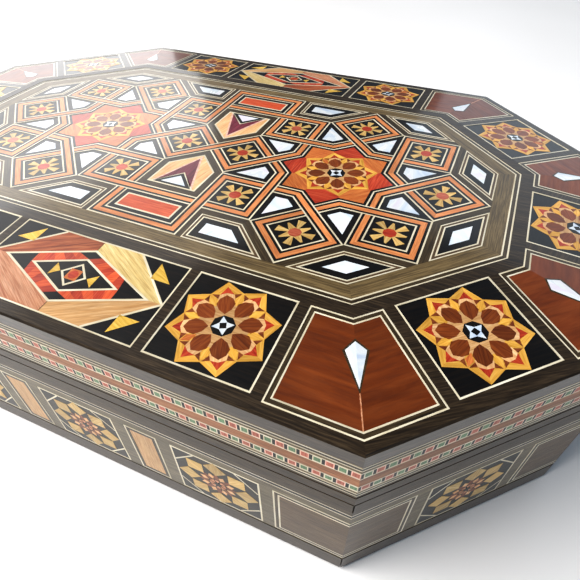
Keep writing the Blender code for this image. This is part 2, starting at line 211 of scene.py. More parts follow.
class Nodes:
    """Short calls for building one material's node tree."""

    def __init__(self, name):
        self.material = bpy.data.materials.new(name)
        self.material.use_nodes = True
        self.tree = self.material.node_tree
        self.shader = self.tree.nodes["Principled BSDF"]

    def add(self, kind, links=None, **settings):
        node = self.tree.nodes.new(kind)
        for key, value in settings.items():
            setattr(node, key, value)
        for key, value in (links or {}).items():
            self.plug(node.inputs[key], value)
        return node

    def out(self, output, kind, links=None, **settings):
        return self.add(kind, links, **settings).outputs[output]

    def plug(self, socket, value):
        if isinstance(value, bpy.types.NodeSocket):
            self.tree.links.new(value, socket)
        else:
            socket.default_value = value

    def place(self):
        """Where a point of the object lies, in metres."""
        return self.out("Object", "ShaderNodeTexCoord")

    def set(self, **values):
        """Constants straight on the shader, with _ for a space in the socket's name."""
        for key, value in values.items():
            self.shader.inputs[key.replace("_", " ")].default_value = value

    def math(self, operation, a, b):
        return self.out(0, "ShaderNodeMath", {0: a, 1: b}, operation=operation)

    def vector(self, operation, a, b=(0, 0, 0)):
        second = "Scale" if operation == "SCALE" else 1
        output = "Value" if operation == "DOT_PRODUCT" else "Vector"
        return self.out(output, "ShaderNodeVectorMath", {0: a, second: b}, operation=operation)

    def noise(self, place, scale=1.0, detail=4.0, roughness=0.55, distortion=0.0):
        return self.out("Fac", "ShaderNodeTexNoise", {
            "Vector": place, "Scale": scale, "Detail": detail, "Roughness": roughness,
            "Distortion": distortion})

    def ramp(self, value, stops):
        node = self.add("ShaderNodeValToRGB", {"Fac": value})
        points = node.color_ramp.elements
        points[0].position, points[0].color = stops[0]
        points[1].position, points[1].color = stops[-1]
        for position, colour in stops[1:-1]:
            points.new(position).color = colour
        return node.outputs["Color"]

    def span(self, value, to_low, to_high, low=0.3, high=0.7):
        """A noise's range from low to high, mapped to another."""
        return self.out("Result", "ShaderNodeMapRange", {
            "Value": value, "From Min": low, "From Max": high,
            "To Min": to_low, "To Max": to_high})

    def mix(self, factor, a, b):
        links = {"Factor": factor, "A": a, "B": b}
        return self.out("Result", "ShaderNodeMix", links, data_type="RGBA")

    def stretched(self, place, along, across):
        """Coordinates for streaks: `along` and `across` are streak sizes in metres."""
        return self.vector("MULTIPLY", place, (1 / along, 1 / across, 1.0))

    def finish(self, colour, roughness, height=None, bump=0.2, distance=0.0001):
        self.plug(self.shader.inputs["Base Color"], colour)
        self.plug(self.shader.inputs["Roughness"], roughness)
        if height is not None:
            bumped = self.add("ShaderNodeBump", {"Strength": bump, "Distance": distance,
                                                 "Height": height})
            self.plug(self.shader.inputs["Normal"], bumped.outputs["Normal"])
        return self.material


def piece_grain(nodes):
    """Coordinates along and across the grain of each inlaid piece, and its own shade."""
    place = nodes.out("Vector", "ShaderNodeAttribute", attribute_name="grain")
    shade = nodes.out("Fac", "ShaderNodeAttribute", attribute_name="shade")
    return place, shade


def side_grain(nodes):
    """Coordinates that run round the box, level with the floor, on any face of a solid part."""
    normal = nodes.out("True Normal", "ShaderNodeNewGeometry")
    place = nodes.place()
    level = nodes.vector("CROSS_PRODUCT", (0, 0, 1), normal)
    level = nodes.vector("ADD", level, (0.02, 0, 0))
    level = nodes.vector("NORMALIZE", level)
    rise = nodes.vector("CROSS_PRODUCT", normal, level)
    along = nodes.vector("DOT_PRODUCT", place, level)
    across = nodes.vector("DOT_PRODUCT", place, rise)
    return nodes.out("Vector", "ShaderNodeCombineXYZ", {"X": along, "Y": across, "Z": 0.0})


def even_stops(colours):
    """Ramp stops spread over the middle of a noise's range."""
    codes = colours.split()
    return [(0.30 + 0.40 * i / (len(codes) - 1), linear(code)) for i, code in enumerate(codes)]


def wood(name, colours, figure=(0.012, 0.0009), pores=0.35, lacquer=0.6, solid=False):
    """A lacquered wood: streaks of its colours, darker pores, and drift from place to place."""
    nodes = Nodes(name)
    if solid:
        place, shade = side_grain(nodes), 1.0
    else:
        place, shade = piece_grain(nodes)
    streaks = nodes.noise(nodes.stretched(place, *figure), detail=5.0, distortion=0.6)
    fine = nodes.noise(nodes.stretched(place, figure[0] / 3, figure[1] / 5), detail=2.0)
    drift = nodes.noise(nodes.stretched(place, 0.03, 0.008), detail=1.0)
    colour = nodes.ramp(streaks, even_stops(colours))
    pore = nodes.span(fine, 1 - pores, 1.0, 0.35, 0.55)
    tone = nodes.math("MULTIPLY", pore, nodes.span(drift, 0.86, 1.12))
    tone = nodes.math("MULTIPLY", tone, shade)
    colour = nodes.vector("SCALE", colour, tone)
    roughness = nodes.span(fine, 0.44, 0.30)
    nodes.set(Coat_Weight=lacquer, Coat_Roughness=0.10, Coat_IOR=1.5, Specular_IOR_Level=0.2)
    return nodes.finish(colour, roughness, fine, bump=0.10, distance=0.00004)


def shell(name, colours):
    """Mother-of-pearl: soft cloudy bands that change hue."""
    nodes = Nodes(name)
    place, shade = piece_grain(nodes)
    cloud = nodes.noise(nodes.stretched(place, 0.011, 0.006), detail=1.5, distortion=1.0)
    bands = nodes.noise(nodes.stretched(place, 0.006, 0.0005), detail=2.0, distortion=0.8)
    colour = nodes.ramp(cloud, even_stops(colours))
    tone = nodes.math("MULTIPLY", nodes.span(bands, 0.985, 1.015), shade)
    colour = nodes.vector("SCALE", colour, tone)
    nodes.set(Coat_Weight=0.7, Coat_Roughness=0.06, Specular_IOR_Level=0.6)
    return nodes.finish(colour, nodes.span(cloud, 0.18, 0.34), bands, bump=0.03,
                        distance=0.00004)


def velvet(name, deep, light):
    """Cut pile: soft cloudy shading where the pile leans, and a fine nap."""
    nodes = Nodes(name)
    place = nodes.place()
    cloud = nodes.noise(place, scale=38.0, detail=2.0)
    nap = nodes.noise(place, scale=2600.0, detail=2.0)
    colour = nodes.mix(nodes.span(cloud, 0.0, 1.0, 0.35, 0.68), linear(deep), linear(light))
    colour = nodes.vector("SCALE", colour, nodes.span(nap, 0.72, 1.18))
    nodes.set(Sheen_Weight=0.8, Sheen_Roughness=0.35, Sheen_Tint=linear(light),
              Specular_IOR_Level=0.15)
    return nodes.finish(colour, nodes.span(nap, 0.80, 0.98), nap, bump=0.6,
                        distance=0.0002)


def felt(name, deep, light):
    nodes = Nodes(name)
    place = nodes.place()
    fibres = nodes.noise(place, scale=1500.0, detail=4.0, roughness=0.7, distortion=2.0)
    cloud = nodes.noise(place, scale=40.0, detail=2.0)
    mixed = nodes.math("ADD", nodes.math("MULTIPLY", fibres, 0.7),
                       nodes.math("MULTIPLY", cloud, 0.3))
    colour = nodes.mix(nodes.span(mixed, 0.0, 1.0, 0.35, 0.65), linear(deep), linear(light))
    nodes.set(Sheen_Weight=0.3, Sheen_Roughness=0.6, Specular_IOR_Level=0.1)
    return nodes.finish(colour, nodes.span(fibres, 0.85, 1.0), fibres, bump=0.7,
                        distance=0.0002)


def brass(name):
    """Worn brass: brushed lines, dull patches and finger marks."""
    nodes = Nodes(name)
    place = nodes.place()
    patches = nodes.noise(place, scale=420.0, detail=4.0)
    brushed = nodes.noise(nodes.vector("MULTIPLY", place, (150, 6000, 6000)), detail=2.0)
    stops = zip((0.32, 0.5, 0.7), ("8a6a34", "c9a253", "e2c57c"))
    colour = nodes.ramp(patches, [(at, linear(code)) for at, code in stops])
    nodes.set(Metallic=1.0)
    roughness = nodes.math("ADD", nodes.span(patches, 0.42, 0.22),
                           nodes.span(brushed, -0.05, 0.06))
    return nodes.finish(colour, roughness, brushed, bump=0.12, distance=0.00005)


# for each wood: dark, middle and light; streak length and width in metres; depth of the pores
WOODS = {
    "black": ("070608 0f0c0a 1a130e", (0.010, 0.0006), 0.15),
    "ivory": ("c2b494 d8cdb2 e6dfcc", (0.010, 0.0006), 0.10),
    "orange": ("b56c3f d0844f df9a66", (0.008, 0.0005), 0.20),
    "walnut_strip": ("271f15 3f3322 554630", (0.010, 0.0004), 0.35),
    "olive": ("443826 6a583a 86724e", (0.012, 0.0005), 0.38),
    "red": ("8c2a1a ac3c23 c3573a", (0.009, 0.0006), 0.20),
    "brick": ("96442f b0583e be6c50", (0.006, 0.0006), 0.15),
    "vermilion": ("ae3c1e c6522c d56a3e", (0.008, 0.0005), 0.20),
    "amber": ("a9552a c16d35 d08146", (0.008, 0.0006), 0.20),
    "gold": ("b8852f d29c42 e2b45c", (0.008, 0.0006), 0.16),
    "yellow": ("c39838 dab04a e6c46a", (0.008, 0.0006), 0.16),
    "straw": ("ae8748 c9a462 d8bc80", (0.008, 0.0005), 0.18),
    "tan": ("b08250 c99b67 d8b080", (0.010, 0.0006), 0.22),
    "peach": ("cf9663 e2b07a efc797", (0.010, 0.0008), 0.22),
    "blonde": ("b8955a d6bb7d e6d09b", (0.012, 0.0006), 0.30),
    "rosy": ("a3603f c68a66 d7a382", (0.012, 0.0006), 0.30),
    "chestnut": ("6d2f17 a0522d bd7247", (0.012, 0.0008), 0.30),
    "nut": ("413224 57442f 6a543b", (0.012, 0.0005), 0.28),
    "pink": ("d59a86 e6b7a3 f0cdbb", (0.008, 0.0006), 0.15),
    "maroon": ("4c1420 6e2334 853546", (0.010, 0.0007), 0.25),
    "petal": ("5a280d 743713 87471d", (0.006, 0.0004), 0.12),
    "brown": ("54270f 77391a 8a4c28", (0.006, 0.0005), 0.2),
    "crimson": ("8a2416 a93820 bc4c2b", (0.006, 0.0005), 0.15),
    "mahogany": ("5a270d 6b3212 7a3d19", (0.018, 0.0030), 0.12),
    "green": ("4c684a 64835d 7c9872", (0.006, 0.0004), 0.20),
    "rust": ("8c4231 ae5c46 c2715a", (0.006, 0.0004), 0.20),
    "cherry": ("74452a 96603c ad774e", (0.010, 0.0006), 0.25),
    "grey": ("4a4132 685d48 80745c", (0.012, 0.0006), 0.30),
}
MATERIALS = {name: wood(name, *facts) for name, facts in WOODS.items()}
SATIN_LACQUER = 0.14  # the sides are less glossy than the lid
SATIN = {name: wood(name + "_satin", *facts, lacquer=SATIN_LACQUER)
         for name, facts in WOODS.items()}
MATERIALS["pearl"] = shell("pearl", "b9c7da cfd8e0 dcdfe0 d6cfdb")
WALNUT = wood("walnut", "1c150f 34291d 4d3f2e", (0.010, 0.0005), 0.42, solid=True)
WALNUT_SATIN = wood("walnut_satin", "20180f 382b1c 4e3e2a", (0.010, 0.0005), 0.40,
                    lacquer=SATIN_LACQUER, solid=True)
PLYWOOD = wood("plywood", "a27c50 c39d6d d5b386", (0.022, 0.0012), 0.22, lacquer=0.0,
               solid=True)
VELVET = velvet("velvet", "6a0a18", "861325")
FELT = felt("felt", "30100f", "4c1d1b")
BRASS = brass("brass")


# ---- making pieces
def new_object(name, bm, materials, body, slot, replaces=()):
    bmesh.ops.recalc_face_normals(bm, faces=bm.faces)
    mesh = bpy.data.meshes.new(name)
    bm.to_mesh(mesh)
    bm.free()
    piece = bpy.data.objects.new(name, mesh)
    bpy.context.scene.collection.objects.link(piece)
    for material in materials:
        mesh.materials.append(material)
    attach(piece, body)
    if replaces:
        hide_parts(*replaces)
    return piece


class Marquetry:
    """Veneer pieces laid side by side on one surface, made into one object."""

    def __init__(self, name, place, body, slot, replaces=()):
        self.name = name
        self.place = place
        self.home = (body, slot, replaces)
        self.cells = []
        self.random = random.Random(name)

    def lay(self, outline, species, level, grain=0.0, shade=1.0, full=False):
        """One veneer piece. A full piece reaches down through the whole inlay."""
        self.cells.append((outline, species, level, grain, shade, full))

    def course(self, outline, widths, species, level):
        """Mitred strips just inside an outline, with a width for each edge; an edge of no
        width gets no strip. Returns the outline that is left."""
        inner = inset(outline, widths)
        for (a, b), (d, c), width in zip(edges(outline), edges(inner), widths):
            if width > 0:
                self.lay([a, b, c, d], species, level, direction_of(a, b))
        return inner

    def line(self, outline, width, species, level):
        """A course of one width."""
        return self.course(outline, [width] * len(outline), species, level)

    def courses(self, outline, stack, level, bare=None):
        """Courses one inside the other; the edge numbered `bare` gets none."""
        for width, species in stack:
            widths = [0 if i == bare else width for i in range(len(outline))]
            outline = self.course(outline, widths, species, level)
        return outline

    def strap(self, a, b, cut_a, cut_b):
        """A strap to the right of the line a-b, ended by two (point, direction) cuts."""
        d = heading(a, b)
        edge = 0.0
        shade = 1 + self.random.uniform(-0.06, 0.06)
        for width, species in STRAP_COURSES:
            near = (a[0] + d[1] * edge, a[1] - d[0] * edge)
            edge += width
            far = (a[0] + d[1] * edge, a[1] - d[0] * edge)
            quad = [crossing(far, d, *cut_a), crossing(far, d, *cut_b),
                    crossing(near, d, *cut_b), crossing(near, d, *cut_a)]
            self.lay(quad, species, STRAP_LEVEL, direction_of(a, b), shade)

    def build(self):
        bm = bmesh.new()
        grain_layer = bm.loops.layers.float_vector.new("grain")
        shade_layer = bm.loops.layers.float.new("shade")
        used = []
        for outline, species, level, grain, shade, full in self.cells:
            if species not in used:
                used.append(species)
            high = (TOP_LEVEL - level) * LEVEL_STEP
            low = INLAY if full else (TOP_LEVEL + 1) * LEVEL_STEP
            shift = [self.random.uniform(0, 5) for _ in range(3)]
            shade *= 1 + self.random.uniform(-0.09, 0.09)
            cos, sin = math.cos(grain), math.sin(grain)
            upper, lower = [[bm.verts.new(self.place(x, y, depth)) for x, y in outline]
                            for depth in (high, low)]
            faces = [(bm.faces.new(upper), outline), (bm.faces.new(lower), outline)]
            for (a, b), (c, d), (p, q) in zip(edges(upper), edges(lower), edges(outline)):
                faces.append((bm.faces.new((a, b, d, c)), [p, q, q, p]))
            for face, spots in faces:
                face.material_index = used.index(species)
                for loop, (x, y) in zip(face.loops, spots):
                    loop[grain_layer] = (UNIT * (x * cos + y * sin) + shift[0],
                                         UNIT * (y * cos - x * sin) + shift[1], shift[2])
                    loop[shade_layer] = shade
        looks = SATIN if self.home[1] in ("side_inlay", "banding") else MATERIALS
        new_object(self.name, bm, [looks[s] for s in used], *self.home)


# ---- motifs
def mitre(point, degrees):
    """A cut through a point, along a direction."""
    return (point, polar(1, degrees))


def either(outline, forward):
    """The outline, run the other way round if a mirror image has turned it over."""
    return outline if forward else outline[::-1]


def spread(cell, at, centre, sign=1):
    """A cell given as (radius, degrees off its axis), with its axis at an angle."""
    return [polar(radius, at + sign * off, centre) for radius, off in cell]


STAR_TIP, STAR_NOTCH = 0.672, 0.522  # the rosette's gold star
# the rosette's other cells, as (radius, degrees off the axis), and the petal as (reach, aside)
GOLD_ARM = [(STAR_TIP, 0), (STAR_NOTCH, SIXTEENTH), (0.47, 10), (0.575, 0)]
RED_POINT = [(0.590, 0), (0.476, 10.5), (0.492, 0), (0.476, -10.5)]
WINGS = [(0.494, 0), (0.482, -10.5), (0.395, -15.5), (0.340, 0), (0.395, 15.5), (0.482, 10.5)]
GOLD_LOZENGE = [(0.505, 0), (0.415, 6.4), (0.305, 0), (0.415, -6.4)]
BROWN_SLIVER = [(0.508, 1.5), (0.478, 11.5), (0.415, 8)]
PETAL = [(0.168, 0.0), (0.235, -0.076), (0.325, -0.114), (0.405, -0.080),
         (0.458, 0.0), (0.405, 0.080), (0.325, 0.114), (0.235, 0.076)]
AMBER_ONE = 3  # one of the eight lozenges is of a redder wood


def rosette(sheet, centre, level):
    """Gold eight-pointed star with brown petals round a small white star."""
    sheet.lay(star_outline(8, STAR_TIP, STAR_NOTCH, SIXTEENTH, centre), "gold", level)
    sheet.lay(regular(8, 0.345, SIXTEENTH, centre), "tan", level + 1, shade=0.9)
    for k in range(8):
        tip = SIXTEENTH + EIGHTH * k
        for sign in (-1, 1):
            arm = spread(GOLD_ARM, tip, centre, sign)
            sheet.lay(either(arm, sign < 0), "gold", level + 1, direction_of(arm[0], arm[1]),
                      sheet.random.uniform(0.9, 1.1))
        grain = math.radians(tip)
        sheet.lay(spread(RED_POINT, tip, centre), "crimson", level + 2, grain)
        sheet.lay(spread(WINGS, tip, centre), "peach", level + 1, grain, 0.92)
        sheet.lay(turned(PETAL, tip, centre), "petal", level + 2, grain,
                  sheet.random.uniform(0.8, 1.25))
        between = EIGHTH * k
        sheet.lay(spread(GOLD_LOZENGE, between, centre), "amber" if k == AMBER_ONE else "gold",
                  level + 2, math.radians(between), 1.10)
        for sign in (-1, 1):
            sliver = spread(BROWN_SLIVER, between, centre, sign)
            sheet.lay(either(sliver, sign > 0), "brown", level + 2)
    sheet.lay(regular(8, 0.150, SIXTEENTH, centre), "black", level + 3)
    sheet.lay(star_outline(4, 0.134, 0.064, 65, centre), "pearl", level + 4)
    sheet.lay(regular(4, 0.056, 20, centre), "black", level + 5)


CORNER_WEDGE = [(0.085, -0.016), (0.276, -0.064), (0.284, 0.064), (0.085, 0.016)]
SIDE_WEDGE = [(0.075, -0.060), (0.236, -0.014), (0.244, 0.014), (0.075, 0.060)]
HEARTS = ["crimson", "brick", "red"]


def flower(sheet, centre, turn, heart, level):
    """Eight yellow wedges round a red heart; turn points the first at a corner."""
    for k in range(8):
        angle = turn + EIGHTH * k
        wedge = turned(SIDE_WEDGE if k % 2 else CORNER_WEDGE, angle, centre)
        sheet.lay(wedge, "straw", level + 1, math.radians(angle),
                  sheet.random.uniform(0.82, 1.12))
    sheet.lay(regular(8, 0.100, turn + SIXTEENTH, centre), heart, level + 2)


BLACK_EDGE = 0.045  # black line round the big star


def star_filling(sheet, centre, level):
    """The big star of the field: black outline, red and orange points, and the rosette."""
    sheet.lay(star_outline(8, 1.0, BEND, 0, centre), "black", level)
    tip = 1 - BLACK_EDGE * math.sqrt(2)
    notch = BEND - BLACK_EDGE / COS
    point = [(tip, 0), (notch, SIXTEENTH), (STAR_TIP, SIXTEENTH), (STAR_NOTCH, 0),
             (STAR_TIP, -SIXTEENTH), (notch, -SIXTEENTH)]
    for k in range(8):
        at = EIGHTH * k
        sheet.lay(spread(point, at, centre), "amber" if k % 2 else "red", level + 1,
                  math.radians(at + 90))
    rosette(sheet, centre, level + 1)


# ---- the lid's field
def field_sheet(name, replaces=()):
    return Marquetry("field_" + name, on_field, "lid", "field_inlay", replaces)


def lay_straps(sheet, runs, turn, centre=(0, 0)):
    """Straps given as (start, end, cut at the start, cut at the end), turned into place."""
    for a, b, *ends in runs:
        a, b = turned([a, b], turn, centre)
        cuts = [(turned([point], turn, centre)[0], turned([direction], turn)[0])
                for point, direction in ends]
        sheet.strap(a, b, *cuts)
    sheet.build()


def square_straps(sheet, centre, turn, closed):
    """Straps round one flower square; the two far ones only where it is closed."""
    upper, lower, far = (SQUARE_AT, ROOT), (SQUARE_AT, -ROOT), (FAR, 0)
    slant = (ROOT, ROOT)
    notch_low, notch_high = polar(BEND, -SIXTEENTH), polar(BEND, SIXTEENTH)
    runs = [(notch_low, upper, mitre(notch_low, -SIXTEENTH), mitre(upper, 90)),
            (lower, notch_high, mitre(lower, 90), ((1 + ACROSS, -ACROSS), slant)),
            (lower, notch_high, ((1, 0), slant), mitre(notch_high, SIXTEENTH))]
    if closed:
        runs.append((upper, far, mitre(upper, 90), mitre(far, 0)))
        runs.append((far, lower, mitre(far, 0), mitre(lower, 90)))
    lay_straps(sheet, runs, turn, centre)


def build_medallion(name, sign):
    """One of the two star medallions of the field."""
    centre = (sign * MIDDLE, 0)
    inward = 180 if sign > 0 else 0
    sheet = field_sheet(name + "_star")
    star_filling(sheet, centre, 1)
    sheet.build()

    def faces_out(turn):
        return abs((turn - inward + 180) % 360 - 180) > EIGHTH

    for k in range(8):
        turn = EIGHTH * k
        sheet = field_sheet(f"{name}_square_{k + 1}")
        middle = polar(SQUARE_AT, turn, centre)
        sheet.lay(regular(4, ROOT - STRAP * math.sqrt(2), turn, middle), "black", 1)
        flower(sheet, middle, turn, HEARTS[(k * 5 + (sign > 0)) % 3], 2)
        sheet.build()
        square_straps(field_sheet(f"{name}_strap_{k + 1}"), centre, turn, faces_out(turn))
        build_kite(f"{name}_kite_{k + 1}", centre, turn)
        if faces_out(turn) and faces_out(turn + EIGHTH):
            build_rhomb(f"{name}_rhomb_{k + 1}", centre, turn)


KITE_EDGE = 0.088  # black round the pearl kites


def build_kite(name, centre, turn):
    """The kite between the straps of two neighbouring squares."""
    sheet = field_sheet(name)
    outer = ROOT + STRAP
    inner = polar(outer / COS, SIXTEENTH)
    near = (0.5 * (1 + outer * math.sqrt(2)), 0.5 * (outer * math.sqrt(2) - 1))
    kite = turned([inner, near, (SQUARE_AT, ROOT), (outer, ROOT)], turn, centre)
    sheet.lay(kite, "black", 1, shade=1.3)
    sheet.lay(inset(kite, [KITE_EDGE] * 4), "pearl", 2, sheet.random.uniform(0, 3))
    sheet.build()


PEARL_FRAME = [(0.018, "ivory"), (0.034, "nut"), (0.022, "ivory"), (0.106, "black")]


def pearl_gap(name, outline, walnut_widths):
    """Walnut, a double ivory line and black round a pearl, fitted into a gap between straps."""
    sheet = field_sheet(name)
    sheet.lay(outline, "black", 1)
    left = sheet.course(outline, walnut_widths, "walnut_strip", 2)
    left = sheet.courses(left, PEARL_FRAME, 3)
    sheet.lay(left, "pearl", 3, sheet.random.uniform(0, 3))
    sheet.build()


def build_rhomb(name, centre, turn):
    """The rhomb between two squares and a corner of the border."""
    outline = [(FAR, 0), (FAR, 1.0), (SQUARE_AT, SQUARE_AT), (SQUARE_AT, ROOT)]
    pearl_gap(name, turned(outline, turn, centre), [0, 0, 0.115, 0.115])


def build_middle():
    """Where the medallions meet: crossed straps, houses, framed rectangles and trapezoids."""
    up, slant, level = (0, 1), (ROOT, ROOT), (1, 0)
    low_left, high_right = (-EDGE, -ROOT), (EDGE, ROOT)
    high_left, low_right = (-EDGE, ROOT), (EDGE, -ROOT)
    near, far = (-ACROSS, 0), (ACROSS, 0)
    lay_straps(field_sheet("middle_cross"), [
        (near, high_right, (low_left, up), (high_right, up)),
        (high_left, far, (high_left, up), (near, slant)),
        (high_left, far, (far, slant), (low_right, up)),
    ], 0)
    outer = EDGE + STRAP
    corner_left, corner_right = (-EDGE - 1, SQUARE_AT), (EDGE + 1, SQUARE_AT)
    top_left, top_right = (-outer, FAR), (outer, FAR)
    frame_runs = [
        (corner_left, corner_right, mitre(corner_left, -45), ((-outer, 0), up)),
        (corner_left, corner_right, ((-EDGE, 0), up), mitre(corner_right, 45)),
        (top_left, top_right, mitre(top_left, -45), mitre(top_right, 45)),
        (top_right, (outer, 0), mitre(top_right, 45), ((0, SQUARE_AT), level)),
        (top_right, (outer, 0), ((0, SQUARE_AT - STRAP), level), mitre(high_right, 45)),
        ((-outer, 0), top_left, mitre(high_left, 135), mitre(top_left, -45)),
    ]
    for word, turn in (("back", 0), ("front", 180)):
        lay_straps(field_sheet(word + "_frame"), frame_runs, turn)
        build_house(word, turn)
        sheet = field_sheet(word + "_panel")
        outline = turned(box_outline(-EDGE, SQUARE_AT, EDGE, FAR - STRAP), turn)
        left = sheet.courses(outline, [(0.075, "black"), (0.030, "ivory")], 3)
        sheet.lay(left, "vermilion", 3)
        sheet.build()
        right = [(outer, SQUARE_AT), (EDGE + 1, SQUARE_AT), (MIDDLE, FAR), (outer, FAR)]
        left = [(-x, y) for x, y in right]
        left = [left[1], left[0], left[3], left[2]]
        pearl_gap(word + "_right_gap", turned(right, turn), [0.12, 0.12, 0, 0.09])
        pearl_gap(word + "_left_gap", turned(left, turn), [0.12, 0.09, 0, 0.12])


# the house's arrow: how far its tip stays below the apex, half width, foot, wood, level
ARROWS = [(0.02, 0.375, 0.0, "pink", 4), (0.11, 0.325, 0.03, "maroon", 5)]
ARROW_NOTCH = 0.40
# the triangle at its foot: height, half width, foot, wood, level
TRIANGLES = [(ARROW_NOTCH, 0.385, 0.0, "ivory", 5), (0.365, 0.345, 0.0, "black", 6),
             (0.285, 0.225, 0.045, "pearl", 7)]


def build_house(word, turn):
    """The five-sided gap: peach and maroon arrow over a pearl triangle."""
    sheet = field_sheet(word + "_house")
    high = SQUARE_AT - STRAP
    outline = [(0, ACROSS), (EDGE, ROOT), (EDGE, high), (-EDGE, high), (-EDGE, ROOT)]
    outline = turned(outline, turn)
    sheet.lay(outline, "black", 1)
    left = sheet.line(outline, 0.122, "walnut_strip", 2)
    left = sheet.line(left, 0.028, "ivory", 3)
    sheet.lay(left, "peach", 3, math.radians(turn + 80))
    apex, foot_right, foot_left = left[0], left[2], left[3]
    foot = ((foot_right[0] + foot_left[0]) / 2, (foot_right[1] + foot_left[1]) / 2)
    away = turned([(0, -1)], turn)[0]
    side = turned([(1, 0)], turn)[0]

    def spot(across, above):
        return (foot[0] + side[0] * across + away[0] * above,
                foot[1] + side[1] * across + away[1] * above)

    tall = math.hypot(apex[0] - foot[0], apex[1] - foot[1])
    for drop, half, low, species, level in ARROWS:
        arrow = [spot(0, tall - drop), spot(half, low), spot(0, ARROW_NOTCH), spot(-half, low)]
        sheet.lay(arrow, species, level, math.radians(turn + 90) if level == 5 else 0.0)
    for high, half, low, species, level in TRIANGLES:
        sheet.lay([spot(0, high), spot(half, low), spot(-half, low)], species, level)
    sheet.build()


FIELD_EDGE = 2.71 + GAP / UNIT  # the field pocket in the lid board
FIELD_INNER = 2.36  # inner edge of the olive border
BORDER_LINES = [(0.021, "ivory"), (0.050, "walnut_strip"), (0.021, "ivory")]


def octagon(reach):
    """Corners of the elongated octagon at a reach in units, anticlockwise."""
    points = []
    for side in SIDES:
        centre, normal, along = side_frame(side)
        point = centre / UNIT + normal * reach + along * half_length(side, reach)
        points.append((point.x, point.y))
    return points


def build_field():
    ground = field_sheet("ground", ["lid_field_inlay"])
    ground.lay(octagon(FIELD_EDGE), "black", 0, full=True)
    ground.build()
    rings = [FIELD_EDGE]
    for width, _ in BORDER_LINES:
        rings.append(rings[-1] - width)
    rings.append(FIELD_INNER)
    species = [name for _, name in BORDER_LINES] + ["olive"]
    for i, side in enumerate(SIDES):
        sheet = field_sheet("edge_" + side)
        for outer, inner, name in zip(rings, rings[1:], species):
            far, near = octagon(outer), octagon(inner)
            quad = [far[i - 1], far[i], near[i], near[i - 1]]
            sheet.lay(quad, name, 1, direction_of(quad[0], quad[1]))
        sheet.build()
    build_medallion("left", -1)
    build_medallion("right", 1)
    build_middle()


# ---- the lid's sloping border
BORDER_IN = CREASE + 0.00015 / UNIT - GAP / UNIT
STAR_OUT = 4.206 + GAP / UNIT
CORNER_OUT = 4.251 + GAP / UNIT
PANEL_MIDDLE = (BORDER_IN + STAR_OUT) / 2
FRAME_LINE = 0.023
LONG_STAR_AT, LONG_STAR_HALF = 2.172, 0.661
SHORT_STAR_HALF = 0.658


def build_star_panel(name, side, middle, half):
    """A rosette on black in an ivory frame, on the sloping border."""
    sheet = Marquetry("border_" + name, on_border(side), "lid", "star_inlay", [name])
    grow = GAP / UNIT
    outline = box_outline(middle - half - grow, BORDER_IN, middle + half + grow, STAR_OUT)
    sheet.lay(outline, "black", 0, full=True)
    sheet.line(outline, FRAME_LINE, "ivory", 6)
    rosette(sheet, (middle, PANEL_MIDDLE), 1)
    sheet.build()


def blend(a, b, t):
    return (a[0] + (b[0] - a[0]) * t, a[1] + (b[1] - a[1]) * t)


def line_from(sheet, a, b, width, species, level):
    """A straight inlaid line of a width, centred on a-b."""
    length = math.hypot(b[0] - a[0], b[1] - a[1])
    off = (-(b[1] - a[1]) / length * width / 2, (b[0] - a[0]) / length * width / 2)
    quad = [(a[0] - off[0], a[1] - off[1]), (b[0] - off[0], b[1] - off[1]),
            (b[0] + off[0], b[1] + off[1]), (a[0] + off[0], a[1] + off[1])]
    sheet.lay(quad, species, level, direction_of(a, b))


LOZENGE_HALF = 1.35 + GAP / UNIT
LOZENGE_CUT = 0.63  # the big rhomb is cut off here by the panel's long edges
LOZENGE_LINE = 0.030
QUARTERS = [("blonde", 1, -1), ("tan", 1, 1), ("rosy", -1, 1), ("chestnut", -1, -1)]
QUARTER_SLANT = 0.55  # slope of the grain in the quarters
CORNER_TRIANGLE = [(0.955, 0.585), (0.960, 0.312), (1.245, 0.312)]
OUTER_RHOMB = [(1.16, 0), (0, 0.475), (-1.16, 0), (0, -0.475)]
INNER_RHOMB = [(0.70, 0), (0, 0.30), (-0.70, 0), (0, -0.30)]
BAR_ENDS = [(0.345, 0.820), (0.150, 0.620)]  # of a striped bar, as shares of the rhomb's side
STRIPES = 5
DART = [(0.215, 0), (0.335, -0.105), (0.335, 0.105)]


def raised(points, sx=1, sy=1):
    """Points about the middle of a border panel, mirrored by two signs."""
    return [(sx * x, PANEL_MIDDLE + sy * y) for x, y in points]


